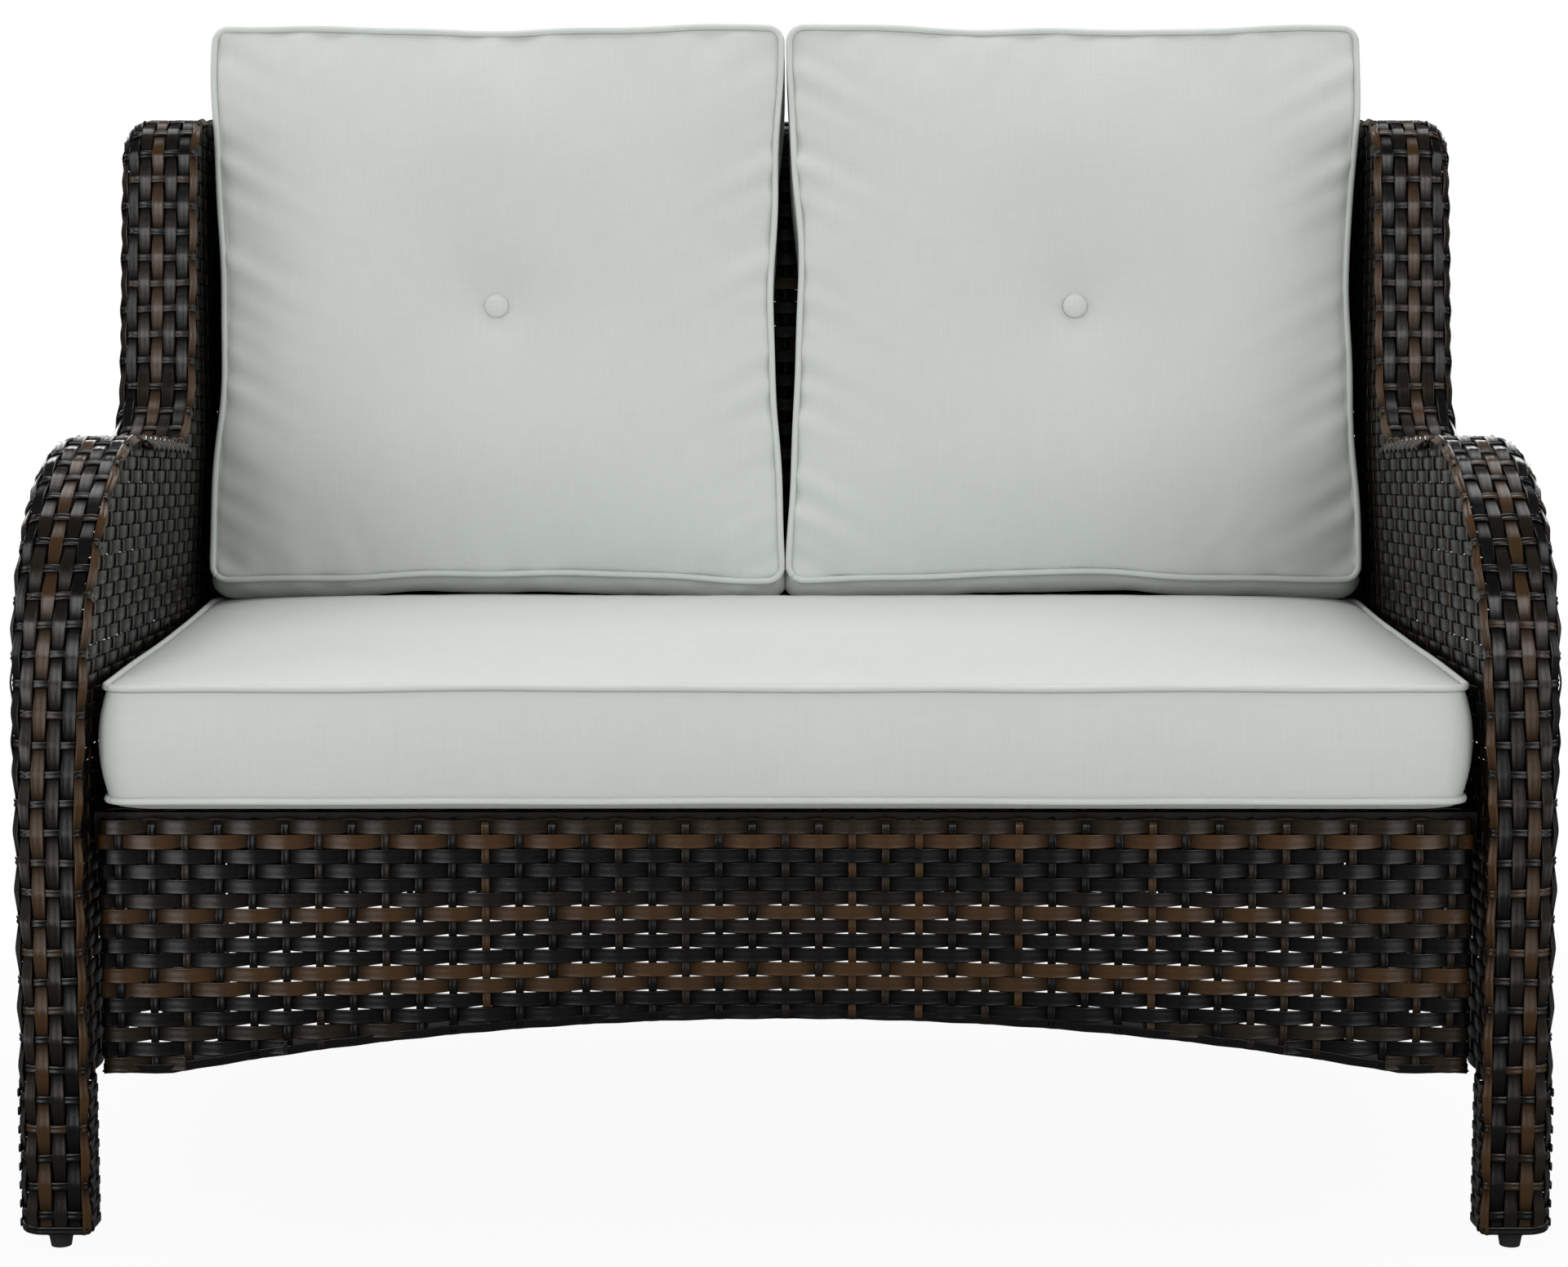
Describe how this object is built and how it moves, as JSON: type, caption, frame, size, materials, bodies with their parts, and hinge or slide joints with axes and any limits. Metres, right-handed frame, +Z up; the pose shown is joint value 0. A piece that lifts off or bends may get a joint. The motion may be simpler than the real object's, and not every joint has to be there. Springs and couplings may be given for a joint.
{
  "type": "patio loveseat",
  "caption": "Two-seat woven resin patio loveseat with rolled arms, raised wings, an arched front apron, a boxed seat cushion and two buttoned back cushions.",
  "frame": {"origin": "floor level at the centre of the footprint", "axes": "+Z up, +X to the right as seen from the front, the front faces -Y"},
  "size_m": [1.286, 0.7385, 1.0441],
  "materials": {
    "resin_wicker": "glossy woven flat strand, mixed black and brown",
    "powder_coated_steel": "satin powder coat",
    "zinc_steel": "zinc plated",
    "glide_plastic": "moulded",
    "cushion_fabric": "plain woven outdoor fabric",
    "cushion_trim": "same fabric, cut on the bias",
    "cushion_filling": "foam and fibre"
  },
  "bodies": {
    "frame": {"apron_arch_tube": "powder_coated_steel", "apron_struts": "powder_coated_steel", "back_bottom_tube": "powder_coated_steel", "back_cap": "resin_wicker", "back_centre_upright": "powder_coated_steel", "back_front_panel": "resin_wicker", "back_left_upright": "powder_coated_steel", "back_rear_panel": "resin_wicker", "back_right_upright": "powder_coated_steel", "back_top_tube": "powder_coated_steel", "foot_plates": "powder_coated_steel", "frame_bolts": "zinc_steel", "frame_nuts": "zinc_steel", "frame_washers": "zinc_steel", "front_apron": "resin_wicker", "left_arm_band": "resin_wicker", "left_arm_braid": "resin_wicker", "left_arm_tube": "powder_coated_steel", "left_front_foot_glide": "glide_plastic", "left_front_leg_sleeve": "resin_wicker", "left_inner_panel": "resin_wicker", "left_lower_rail": "powder_coated_steel", "left_outer_panel": "resin_wicker", "left_rear_band": "resin_wicker", "left_rear_foot_glide": "glide_plastic", "left_rear_leg_sleeve": "resin_wicker", "left_seat_ledger": "powder_coated_steel", "left_seat_side_rail": "powder_coated_steel", "panel_tabs": "powder_coated_steel", "right_arm_band": "resin_wicker", "right_arm_braid": "resin_wicker", "right_arm_tube": "powder_coated_steel", "right_front_foot_glide": "glide_plastic", "right_front_leg_sleeve": "resin_wicker", "right_inner_panel": "resin_wicker", "right_lower_rail": "powder_coated_steel", "right_outer_panel": "resin_wicker", "right_rear_band": "resin_wicker", "right_rear_foot_glide": "glide_plastic", "right_rear_leg_sleeve": "resin_wicker", "right_seat_ledger": "powder_coated_steel", "right_seat_side_rail": "powder_coated_steel", "seat_cross_tube_1": "powder_coated_steel", "seat_cross_tube_2": "powder_coated_steel", "seat_cross_tube_3": "powder_coated_steel", "seat_deck": "resin_wicker", "seat_front_rail": "powder_coated_steel", "seat_rear_rail": "powder_coated_steel", "wing_posts": "powder_coated_steel"},
    "seat_cushion": {"seat_cushion_cover": "cushion_fabric", "seat_cushion_foam": "cushion_filling", "seat_cushion_piping": "cushion_trim"},
    "left_back_cushion": {"left_back_cushion_button": "cushion_trim", "left_back_cushion_cover": "cushion_fabric", "left_back_cushion_fill": "cushion_filling", "left_back_cushion_piping": "cushion_trim"},
    "right_back_cushion": {"right_back_cushion_button": "cushion_trim", "right_back_cushion_cover": "cushion_fabric", "right_back_cushion_fill": "cushion_filling", "right_back_cushion_piping": "cushion_trim"}
  },
  "joints": [
    {"name": "seat_cushion_slide", "type": "slide", "parent": "frame", "child": "seat_cushion", "axis": [0, -1, 0], "range_m": [0, 0.45]},
    {"name": "left_back_cushion_lift", "type": "slide", "parent": "frame", "child": "left_back_cushion", "axis": [0, 0.1253, 0.9921], "range_m": [0, 0.4]},
    {"name": "right_back_cushion_lift", "type": "slide", "parent": "frame", "child": "right_back_cushion", "axis": [0, 0.1253, 0.9921], "range_m": [0, 0.4]}
  ]
}
